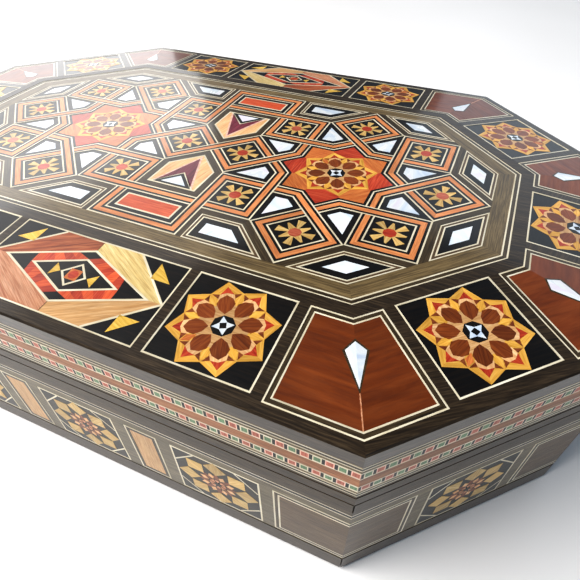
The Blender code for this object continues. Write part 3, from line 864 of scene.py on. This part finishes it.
def build_lozenge_panel(side):
    """Two veneered rhombs inside each other, cut across the corners of the panel."""
    name = "lozenge_panel_" + side
    sheet = Marquetry("border_" + name, on_border(side), "lid", "lozenge_inlay", [name])
    outline = box_outline(-LOZENGE_HALF, BORDER_IN, LOZENGE_HALF, STAR_OUT)
    sheet.lay(outline, "black", 0, full=True)
    sheet.line(outline, FRAME_LINE, "ivory", 3)
    tall = (STAR_OUT - BORDER_IN) / 2 - FRAME_LINE
    wide = LOZENGE_HALF - FRAME_LINE
    cut = (LOZENGE_CUT, tall)
    for species, sx, sy in QUARTERS:
        forward = sx * sy > 0
        quarter = raised([(0, 0), (wide, 0), cut, (0, tall)], sx, sy)
        slant = math.atan2(-sx * sy * QUARTER_SLANT, 1)
        sheet.lay(either(quarter, forward), species, 1, slant)
        corner = raised([(wide, 0), (wide, tall), cut], sx, sy)
        sheet.lay(either(corner, forward), "black", 1)
        line_from(sheet, *raised([(wide, 0), cut], sx, sy), LOZENGE_LINE, "ivory", 2)
        triangle = raised(CORNER_TRIANGLE, sx, sy)
        sheet.lay(either(triangle, not forward), "yellow", 2, math.radians(20))
        line_from(sheet, *raised([(0, 0.47), (0, tall)], sx, sy), 0.008, "walnut_strip", 2)
    left = sheet.line(raised(OUTER_RHOMB), LOZENGE_LINE, "ivory", 2)
    sheet.lay(left, "black", 2)
    inner = raised(INNER_RHOMB)
    for i, ((a, b), (d, c)) in enumerate(zip(edges(left), edges(inner))):
        start, end = [blend(a, b, share) for share in BAR_ENDS[i % 2]]
        for j in range(STRIPES):
            low, high = j / STRIPES, (j + 1) / STRIPES
            stripe = [blend(start, end, low), blend(start, end, high),
                      blend(d, c, high), blend(d, c, low)]
            sheet.lay(stripe, "red" if (i + j) % 2 else "vermilion", 3,
                      direction_of(start, d), sheet.random.uniform(0.85, 1.1))
    core = sheet.line(inner, LOZENGE_LINE, "ivory", 3)
    sheet.lay(core, "black", 3, shade=1.5)
    for sx in (1, -1):
        sheet.lay(either(raised(DART, sx), sx > 0), "yellow", 4)
    middle = (0, PANEL_MIDDLE)
    left = sheet.line(regular(4, 0.205, 0, middle), 0.028, "ivory", 5)
    sheet.lay(left, "black", 5)
    sheet.lay(regular(4, 0.125, 45, middle), "amber", 6)
    sheet.lay(regular(12, 0.070, 15, middle), "crimson", 7)
    sheet.build()


CORNER_COURSES = [(0.021, "ivory"), (0.050, "walnut_strip"), (0.020, "ivory")]
LONG_CORNER_START, SHORT_CORNER_START = 3.00, 0.83
# halves of the kite on the mitre, as (along the mitre, aside)
DARK_KITE = [(0.28, 0), (0.96, 0), (0.43, 0.150)]
PEARL_KITE = [(0.315, 0), (0.90, 0), (0.43, 0.120)]
SEAM_START, SEAM_HALF = 0.95, 0.007


def build_corner_panel(side, following):
    """Mahogany bent round a corner of the border, with a pearl kite on the mitre."""
    name = f"corner_panel_{side}_to_{following}"
    turn = math.radians(SIXTEENTH)
    for word, on_side, mirror in (("first", side, 1), ("second", following, -1)):
        sheet = Marquetry(f"border_{name}_{word}", on_border(on_side, mirror), "lid", "mahogany",
                          [name] if word == "first" else [])
        start = (LONG_CORNER_START if on_side in LONG_SIDES else SHORT_CORNER_START) - GAP / UNIT
        outline = [(start, BORDER_IN), (half_length(on_side, BORDER_IN), BORDER_IN),
                   (half_length(on_side, CORNER_OUT), CORNER_OUT), (start, CORNER_OUT)]
        sheet.lay(outline, "black", 0, full=True)
        left = sheet.courses(outline, CORNER_COURSES, 3, bare=1)
        sheet.lay(left, "mahogany", 2, 0.0, sheet.random.uniform(0.9, 1.15))
        origin = half_length(on_side, CREASE)

        def on_mitre(spots):
            return [(origin + along * math.sin(turn) - aside * math.cos(turn),
                     CREASE + along * math.cos(turn) + aside * math.sin(turn))
                    for along, aside in spots]

        sheet.lay(on_mitre(DARK_KITE), "walnut_strip", 3)
        sheet.lay(on_mitre(PEARL_KITE), "pearl", 4, sheet.random.uniform(0, 3))
        end = (CORNER_OUT - CREASE) / math.cos(turn) - 0.10
        sheet.lay(on_mitre(box_outline(SEAM_START, 0, end, SEAM_HALF)), "rosy", 3)
        sheet.build()


def build_border():
    for i, side in enumerate(SIDES):
        build_corner_panel(side, SIDES[(i + 1) % 8])
        if side in LONG_SIDES:
            build_lozenge_panel(side)
            for end, sign in (("right", 1), ("left", -1)):
                middle = (sign if side == "front" else -sign) * LONG_STAR_AT
                build_star_panel(f"star_panel_{side}_{end}_end", side, middle, LONG_STAR_HALF)
        else:
            build_star_panel("star_panel_" + side, side, 0.0, SHORT_STAR_HALF)


# ---- the banding round the lid
BAND_TOP = 0.345 - GAP / UNIT
# the bottom of each band, in units below the field, from the top down
BANDS = [(0.365, "olive"), (0.381, "ivory"), (0.420, "walnut_strip"), (0.437, "ivory"),
         (0.478, "olive"), (0.495, "ivory"), (0.603, "chequer"), (0.618, "ivory"),
         (0.780, "cherry"), (0.795, "ivory"), (0.893, "chequer"), (0.908, "ivory"),
         (0.948, "olive"), (0.965, "ivory"), (1.003, "walnut_strip"), (1.020, "ivory"),
         (1.055 + GAP / UNIT, "walnut_strip")]
CHEQUER_PITCH = 0.1384
CHEQUER_BAR = 0.036
CHEQUER_LINE = 0.013


def chequer_row(sheet, half, low, high, phase):
    """A row of framed cells, green in ivory and rust in pink by turns, between dark bars."""
    count = round(2 * half / CHEQUER_PITCH)
    pitch = 2 * half / count
    for i in range(count):
        start = -half + i * pitch
        sheet.lay(box_outline(start, low, start + CHEQUER_BAR, high), "black", 1, shade=1.6)
        green = (i + phase) % 2 == 0
        cell = box_outline(start + CHEQUER_BAR, low, start + pitch, high)
        cell = sheet.line(cell, CHEQUER_LINE, "ivory" if green else "pink", 1)
        sheet.lay(cell, "green" if green else "rust", 1, math.pi / 2)


def lay_bands(sheet, half, top, bands):
    """Level bands across a side, down from a top, with rows of chequer among them."""
    rows = 0
    for bottom, species in bands:
        if species == "chequer":
            chequer_row(sheet, half, -bottom, -top, rows)
            rows += 1
        else:
            sheet.lay(box_outline(-half, -bottom, half, -top), species, 1)
        top = bottom


def build_banding():
    for side in SIDES:
        replaced = ["lid_banding"] if side == "front" else []
        sheet = Marquetry(f"lid_banding_{side}", on_wall(side), "lid", "banding", replaced)
        half = half_length(side, HALF_WIDTH / UNIT)
        sheet.lay(box_outline(-half, -BANDS[-1][0], half, -BAND_TOP), "black", 0, full=True)
        lay_bands(sheet, half, BAND_TOP, BANDS)
        sheet.build()


# ---- the base
SIDE_TOP = 1.475 - GAP / UNIT
SIDE_LOW = 3.07 + GAP / UNIT
PANEL_TOP = 1.80
PANEL_LOW = 3.04
SIDE_LINES = [(1.565, "walnut_strip"), (1.582, "ivory"), (1.637, "black"), (1.654, "ivory")]
SIDE_STARS = (-2.28, 0.0, 2.28)  # middles of the star panels of a long side
SIDE_TANS = (-1.14, 1.14)  # middles of the narrow panels between them
LONG_SIDE_STAR, SHORT_SIDE_STAR = 0.657, 0.70  # half widths
LONG_BROWN_START, SHORT_BROWN_START = 3.12, 0.90
CUT_LEG = 0.32  # of the lines across a star panel's corners
TAN_HALF = 0.26
TAN_COURSES = [(0.024, "ivory"), (0.055, "walnut_strip")]
BROWN_COURSES = [(0.024, "ivory"), (0.045, "walnut_strip"), (0.024, "ivory")]
SQUARE_RING = 0.445  # radius of the ring of yellow squares
LEAF = [(0.10, 0.0), (0.20, -0.055), (0.33, 0.0), (0.20, 0.055)]
BUD = [(0.145, 0.0), (0.215, -0.048), (0.285, 0.0), (0.215, 0.048)]
SEED = [(0.04, 0), (0.12, -0.04), (0.12, 0.04)]


def side_sheet(name, side, replaces=(), mirror=1):
    return Marquetry("side_" + name, on_wall(side, mirror), "base", "side_inlay", replaces)


def panel_outline(left, right):
    return box_outline(left, -PANEL_LOW, right, -PANEL_TOP)


def side_star(sheet, middle, half):
    """Yellow squares round a small flower, in an ivory frame with cut corners."""
    inner = sheet.line(panel_outline(middle - half, middle + half), 0.026, "ivory", 3)
    sheet.lay(inner, "black", 2, shade=1.2)
    centre = (middle, -(PANEL_TOP + PANEL_LOW) / 2)
    wide, tall = half - 0.03, (PANEL_LOW - PANEL_TOP) / 2 - 0.03
    for sx in (-1, 1):
        for sy in (-1, 1):
            a = (centre[0] + sx * wide, centre[1] + sy * (tall - CUT_LEG))
            b = (centre[0] + sx * (wide - CUT_LEG), centre[1] + sy * tall)
            line_from(sheet, a, b, 0.024, "ivory", 4)
    for k in range(8):
        at = EIGHTH * k
        grain = math.radians(at)
        square = regular(4, 0.172, at, polar(SQUARE_RING, at, centre))
        sheet.lay(square, "straw", 5, grain, sheet.random.uniform(0.85, 1.15))
        sheet.lay(turned(LEAF, at, centre), "brown", 3, grain)
        sheet.lay(turned(BUD, at + SIXTEENTH, centre), "peach", 4, grain)
        sheet.lay(turned(SEED, at, centre), "rosy", 5)
    sheet.lay(regular(8, 0.055, SIXTEENTH, centre), "black", 6)
    sheet.build()


def build_base_inlay():
    for side in SIDES:
        half = half_length(side, HALF_WIDTH / UNIT)
        long_side = side in LONG_SIDES
        ground = side_sheet("ground_" + side, side, ["base_inlay_" + side])
        ground.lay(box_outline(-half, -SIDE_LOW, half, -SIDE_TOP), "grey", 0, full=True)
        lay_bands(ground, half, SIDE_TOP, SIDE_LINES)
        ground.build()
        star_half = LONG_SIDE_STAR if long_side else SHORT_SIDE_STAR
        for i, middle in enumerate(SIDE_STARS if long_side else (0.0,)):
            side_star(side_sheet(f"star_{side}_{i + 1}", side), middle, star_half)
        for word, middle in zip("ab", SIDE_TANS if long_side else ()):
            sheet = side_sheet(f"tan_{side}_{word}", side)
            outline = panel_outline(middle - TAN_HALF, middle + TAN_HALF)
            left = sheet.courses(outline, TAN_COURSES, 3)
            sheet.lay(left, "tan", 2, math.pi / 2, 0.88)
            sheet.build()
        start = LONG_BROWN_START if long_side else SHORT_BROWN_START
        for word, mirror in (("a", -1), ("b", 1)):
            sheet = side_sheet(f"corner_{side}_{word}", side, mirror=mirror)
            left = sheet.courses(panel_outline(start, half), BROWN_COURSES, 3, bare=1)
            sheet.lay(left, "nut", 2)
            sheet.build()


# ---- the velvet lining
TUCK = 0.001  # metres of the floor pad pressed into the wall lining
PAD_STEPS = 14  # points to a side of a flat pad
PAD_EDGE = [(1.0, 0.0), (1.0, 0.30), (0.9965, 0.62), (0.988, 0.85), (0.975, 0.96)]


def pad_ring(reach):
    """Points round the octagon at a reach in metres, several to a side."""
    points = []
    corners = [Vector((x * UNIT, y * UNIT, 0)) for x, y in octagon(reach / UNIT)]
    for i in range(8):
        for j in range(PAD_STEPS):
            points.append(corners[i - 1].lerp(corners[i], j / PAD_STEPS))
    return points


def velvet_piece(name, bm, body, replaced):
    piece = new_object(name, bm, [VELVET], body, "velvet", replaced)
    piece.data.shade_smooth()
    piece.data.set_sharp_from_angle(angle=math.radians(60))


def build_flat_pad(name, low, high, reach, body, node, upward=True):
    """A thin eight-sided velvet pad with a rounded edge and a gently uneven top."""
    bm = bmesh.new()
    thick = high - low
    profile = PAD_EDGE + [(PAD_EDGE[-1][0] * (1 - i / 14.6), 1.0) for i in range(1, 15)]
    rings = []
    for share, level in profile:
        ring = []
        for point in pad_ring(reach * share):
            wave = noise.noise(point * 45) * 0.00018 if level > 0.9 else 0.0
            rise = min(thick, thick * level * 0.94 + wave + 0.00012 * level)
            point.z = low + rise if upward else high - rise
            ring.append(bm.verts.new(point))
        rings.append(ring)
    for outer, inner in zip(rings, rings[1:]):
        for (a, b), (c, d) in zip(edges(outer), edges(inner)):
            bm.faces.new((a, b, d, c))
    bm.faces.new(rings[0])
    bm.faces.new(rings[-1])
    velvet_piece(name, bm, body, [node])


def build_wall_pad(name, side, reach, low, high, body, replaced):
    """One side's velvet lining: a thin panel, rounded at its edges, facing inwards."""
    centre, normal, along = side_frame(side)
    half = half_length(side, (reach - LINING) / UNIT) * UNIT - 0.0004
    columns, rows = (60 if side in LONG_SIDES else 26), 14
    bm = bmesh.new()

    def eased(i, count):
        """From 0 to 1, with the steps closer together at both ends."""
        return 0.5 - 0.5 * math.cos(math.pi * i / count)

    def puff(t):
        return (1 - abs(2 * t - 1) ** 10) ** 0.5

    front, back = [], []
    for j in range(rows + 1):
        v = eased(j, rows)
        z = low + (high - low) * v
        front.append([])
        back.append([])
        for i in range(columns + 1):
            u = eased(i, columns)
            spot = centre + along * (half * (2 * u - 1))
            rise = LINING * (0.18 + 0.80 * puff(u) * puff(v))
            rise -= 0.00010 * (1 + noise.noise(Vector((spot.x, spot.y, z)) * 70))
            rise = max(rise, LINING * 0.15)
            for grid, depth in ((front, reach - rise), (back, reach)):
                point = spot + normal * depth
                point.z = z
                grid[j].append(bm.verts.new(point))
    for j in range(rows):
        for i in range(columns):
            for grid in (front, back):
                bm.faces.new((grid[j][i], grid[j][i + 1], grid[j + 1][i + 1], grid[j + 1][i]))
    for j in range(rows):
        for i in (0, columns):
            bm.faces.new((front[j][i], front[j + 1][i], back[j + 1][i], back[j][i]))
    for i in range(columns):
        for j in (0, rows):
            bm.faces.new((front[j][i], front[j][i + 1], back[j][i + 1], back[j][i]))
    velvet_piece(name, bm, body, replaced)


def build_lining():
    floor_low, floor_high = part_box("floor_velvet")
    reach = floor_high.y + TUCK
    build_flat_pad("floor_pad", floor_low.z, floor_high.z, reach, "base", "floor_velvet")
    lid_low, lid_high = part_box("lid_ceiling_velvet")
    build_flat_pad("lid_pad", lid_low.z, lid_high.z, lid_high.y, "lid", "lid_ceiling_velvet",
                   upward=False)
    for node, body in (("wall_velvet", "base"), ("lid_rim_velvet", "lid")):
        low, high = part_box(node)
        for side in SIDES:
            replaced = [node] if side == "front" else []
            build_wall_pad(f"{body}_lining_{side}", side, high.y, low.z, high.z, body, replaced)


# ---- solid parts
SOLID_LOOKS = {"lid_board": WALNUT, "lid_rim": WALNUT_SATIN, "base_wall": WALNUT_SATIN,
               "base_floor_board": PLYWOOD, "underside_felt": FELT, "hinge": BRASS,
               "base_screw": BRASS, "lid_screw": BRASS}
WORN = ("lid_board", "lid_rim", "base_wall", "hinge_base_leaf", "hinge_lid_leaf")
WEAR = 0.00012  # metres


def dress_solids():
    """Materials and softened edges for the CAD parts that stay in view."""
    for name, node in NODES.items():
        for start, material in SOLID_LOOKS.items():
            if name.startswith(start):
                node.data.materials.clear()
                node.data.materials.append(material)
        if name.startswith(WORN):
            bevel = node.modifiers.new("worn_edges", "BEVEL")
            bevel.width = WEAR
            bevel.segments = 2
            bevel.limit_method = "ANGLE"
            bevel.angle_limit = math.radians(30)
            bevel.harden_normals = False


# ---- floor, light, camera
FLOOR_HALF = 1.8  # metres
BOX_MIDDLE = (0, 0, 0.05)
WHITE, WARM = (1, 1, 1), (1, 0.985, 0.96)
BLUE, COOL = (0.55, 0.77, 1.0), (0.80, 0.90, 1.0)
# name, place, aim and size in metres, power in watts, colour
LAMPS = [
    ("key_left", (-0.65, -0.45, 1.05), BOX_MIDDLE, (0.9, 0.9), 24, WARM),
    ("fill_front_right", (1.2, -1.3, 0.8), (0.4, -0.2, 0), (1.2, 0.8), 4.5, BLUE),
    ("window_back_left", (-1.9, 0.9, 0.70), BOX_MIDDLE, (2.4, 1.0), 17, WHITE),
    ("upper_back_left", (-1.75, 0.95, 1.35), BOX_MIDDLE, (2.2, 0.9), 6, WHITE),
    ("window_back_right", (0.9, 2.2, 1.0), (0.4, 0.6, 0), (2.4, 1.4), 9, COOL),
]
SKY = (0.72, 0.83, 1.0, 1)  # lights the scene from all round
SKY_STRENGTH = 0.12
BACKDROP = (0.50, 0.54, 0.59, 1)  # seen behind the floor


def build_stage():
    nodes = Nodes("floor")
    place = nodes.place()
    cloud = nodes.noise(place, scale=3.0, detail=2.0)
    colour = nodes.mix(nodes.span(cloud, 0.0, 1.0), linear("f3f0ee"), linear("fbf9f8"))
    nodes.set(Specular_IOR_Level=0.3)
    material = nodes.finish(colour, nodes.span(cloud, 0.5, 0.6))
    bm = bmesh.new()
    bmesh.ops.create_grid(bm, x_segments=2, y_segments=2, size=FLOOR_HALF)
    mesh = bpy.data.meshes.new("floor")
    bm.to_mesh(mesh)
    bm.free()
    mesh.materials.append(material)
    floor = bpy.data.objects.new("floor", mesh)
    bpy.context.scene.collection.objects.link(floor)


def facing(place, aim):
    """The turn of a lamp or a camera that looks from a place at a point."""
    return (Vector(aim) - Vector(place)).to_track_quat("-Z", "Y")


def add_panel(name, place, aim, size, power, colour):
    """A soft rectangular lamp that faces a point."""
    data = bpy.data.lights.new(name, "AREA")
    data.shape = "RECTANGLE"
    data.size, data.size_y = size
    data.energy = power
    data.color = colour
    lamp = bpy.data.objects.new(name, data)
    lamp.location = place
    lamp.rotation_euler = facing(place, aim).to_euler()
    bpy.context.scene.collection.objects.link(lamp)


def build_light():
    world = bpy.data.worlds.new("studio")
    bpy.context.scene.world = world
    world.use_nodes = True
    tree = world.node_tree
    background = tree.nodes["Background"]
    background.inputs["Color"].default_value = SKY
    background.inputs["Strength"].default_value = SKY_STRENGTH
    backdrop = tree.nodes.new("ShaderNodeBackground")
    backdrop.inputs["Color"].default_value = BACKDROP
    path = tree.nodes.new("ShaderNodeLightPath")
    choice = tree.nodes.new("ShaderNodeMixShader")
    tree.links.new(path.outputs["Is Camera Ray"], choice.inputs[0])
    tree.links.new(background.outputs[0], choice.inputs[1])
    tree.links.new(backdrop.outputs[0], choice.inputs[2])
    tree.links.new(choice.outputs[0], tree.nodes["World Output"].inputs["Surface"])
    for lamp in LAMPS:
        add_panel(*lamp)


LENS = 29.19  # millimetres
SENSOR = 36  # millimetres
CAMERA_PLACE = (0.09633, -0.14557, 0.16842)
CAMERA_AIM = (0.05965, -0.06233, HEIGHT)
CAMERA_ROLL = math.radians(-0.35)


def build_camera():
    data = bpy.data.cameras.new("camera")
    data.lens = LENS
    data.sensor_width = SENSOR
    data.clip_start = 0.005
    data.clip_end = 50
    camera = bpy.data.objects.new("camera", data)
    bpy.context.scene.collection.objects.link(camera)
    turn = facing(CAMERA_PLACE, CAMERA_AIM).to_matrix() @ Matrix.Rotation(CAMERA_ROLL, 3, "Z")
    camera.matrix_world = Matrix.Translation(CAMERA_PLACE) @ turn.to_4x4()
    bpy.context.scene.camera = camera


bpy.context.scene.view_settings.view_transform = "Standard"
bpy.context.scene.view_settings.look = "Medium High Contrast"
build_camera()
build_stage()
build_light()
dress_solids()
build_field()
build_border()
build_banding()
build_base_inlay()
build_lining()
